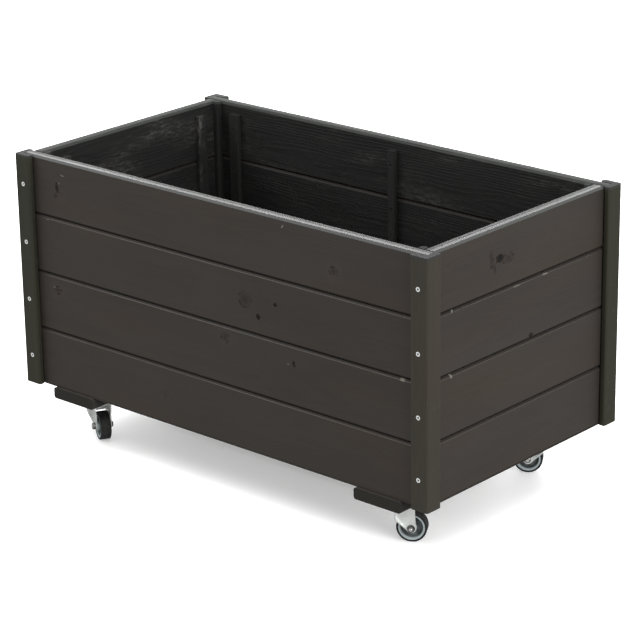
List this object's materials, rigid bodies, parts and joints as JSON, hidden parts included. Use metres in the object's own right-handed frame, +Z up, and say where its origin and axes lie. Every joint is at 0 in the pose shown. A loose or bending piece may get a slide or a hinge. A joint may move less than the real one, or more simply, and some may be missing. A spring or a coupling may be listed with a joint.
{
  "type": "rolling planter",
  "caption": "Open rectangular planter of dark stained V-jointed planks with rounded corner trims, on two bearers and swivel castors.",
  "frame": {"origin": "centre of the footprint, on the ground under the wheels", "axes": "+X along the box's length to its right end, +Y from the front to the rear long wall, +Z up"},
  "size_m": [0.9, 0.496, 0.509],
  "materials": {
    "plank_wood": "dark stain, satin",
    "trim_wood": "dark stain, satin",
    "batten_wood": "dark stain, satin",
    "floor_wood": "dark stain, matt",
    "bearer_wood": "dark stain, matt",
    "zinc_screw": "zinc plated",
    "stained_screw": "zinc plated, stained over",
    "zinc_plate": "zinc plated",
    "bolt_steel": "zinc plated",
    "grey_plastic": "moulded",
    "black_tyre": "moulded rubber"
  },
  "bodies": {
    "box": {"front_plank_1": "plank_wood", "front_plank_2": "plank_wood", "front_plank_3": "plank_wood", "front_plank_4": "plank_wood", "rear_plank_1": "plank_wood", "rear_plank_2": "plank_wood", "rear_plank_3": "plank_wood", "rear_plank_4": "plank_wood", "left_plank_1": "plank_wood", "left_plank_2": "plank_wood", "left_plank_3": "plank_wood", "left_plank_4": "plank_wood", "right_plank_1": "plank_wood", "right_plank_2": "plank_wood", "right_plank_3": "plank_wood", "right_plank_4": "plank_wood", "corner_trim_front_left": "trim_wood", "corner_trim_front_right": "trim_wood", "corner_trim_rear_left": "trim_wood", "corner_trim_rear_right": "trim_wood", "corner_batten_front_left": "batten_wood", "corner_batten_front_right": "batten_wood", "corner_batten_rear_left": "batten_wood", "corner_batten_rear_right": "batten_wood", "front_battens": "batten_wood", "rear_battens": "batten_wood", "left_battens": "batten_wood", "right_battens": "batten_wood", "floor_board_1": "floor_wood", "floor_board_2": "floor_wood", "floor_board_3": "floor_wood", "floor_board_4": "floor_wood", "bearer_left": "bearer_wood", "bearer_right": "bearer_wood", "corner_screws": "zinc_screw", "batten_screws": "stained_screw", "floor_screws": "zinc_screw", "bearer_screws": "zinc_screw", "castor_screws": "zinc_screw", "castor_plate_front_left": "zinc_plate", "castor_plate_front_right": "zinc_plate", "castor_plate_rear_left": "zinc_plate", "castor_plate_rear_right": "zinc_plate", "kingpins": "zinc_plate"},
    "swivel_front_left": {"castor_fork_front_left": "zinc_plate", "castor_axle_front_left": "bolt_steel"},
    "wheel_front_left": {"castor_hub_front_left": "grey_plastic", "castor_tyre_front_left": "black_tyre"},
    "swivel_front_right": {"castor_fork_front_right": "zinc_plate", "castor_axle_front_right": "bolt_steel"},
    "wheel_front_right": {"castor_hub_front_right": "grey_plastic", "castor_tyre_front_right": "black_tyre"},
    "swivel_rear_left": {"castor_fork_rear_left": "zinc_plate", "castor_axle_rear_left": "bolt_steel"},
    "wheel_rear_left": {"castor_hub_rear_left": "grey_plastic", "castor_tyre_rear_left": "black_tyre"},
    "swivel_rear_right": {"castor_fork_rear_right": "zinc_plate", "castor_axle_rear_right": "bolt_steel"},
    "wheel_rear_right": {"castor_hub_rear_right": "grey_plastic", "castor_tyre_rear_right": "black_tyre"}
  },
  "joints": [
    {"name": "front_left_swivel", "type": "hinge", "parent": "box", "child": "swivel_front_left", "pos_m": [-0.342, -0.178, 0.06], "axis": [0, 0, 1], "continuous": true},
    {"name": "front_left_roll", "type": "hinge", "parent": "swivel_front_left", "child": "wheel_front_left", "pos_m": [-0.32814, -0.186, 0.025], "axis": [0.5, 0.866, 0], "continuous": true},
    {"name": "front_right_swivel", "type": "hinge", "parent": "box", "child": "swivel_front_right", "pos_m": [0.342, -0.178, 0.06], "axis": [0, 0, 1], "continuous": true},
    {"name": "front_right_roll", "type": "hinge", "parent": "swivel_front_right", "child": "wheel_front_right", "pos_m": [0.35572, -0.16976, 0.025], "axis": [-0.515, 0.8572, 0], "continuous": true},
    {"name": "rear_left_swivel", "type": "hinge", "parent": "box", "child": "swivel_rear_left", "pos_m": [-0.342, 0.178, 0.06], "axis": [0, 0, 1], "continuous": true},
    {"name": "rear_left_roll", "type": "hinge", "parent": "swivel_rear_left", "child": "wheel_rear_left", "pos_m": [-0.35613, 0.18551, 0.025], "axis": [-0.4695, -0.8829, 0], "continuous": true},
    {"name": "rear_right_swivel", "type": "hinge", "parent": "box", "child": "swivel_rear_right", "pos_m": [0.342, 0.178, 0.06], "axis": [0, 0, 1], "continuous": true},
    {"name": "rear_right_roll", "type": "hinge", "parent": "swivel_rear_right", "child": "wheel_rear_right", "pos_m": [0.32843, 0.16952, 0.025], "axis": [0.5299, -0.848, 0], "continuous": true}
  ]
}
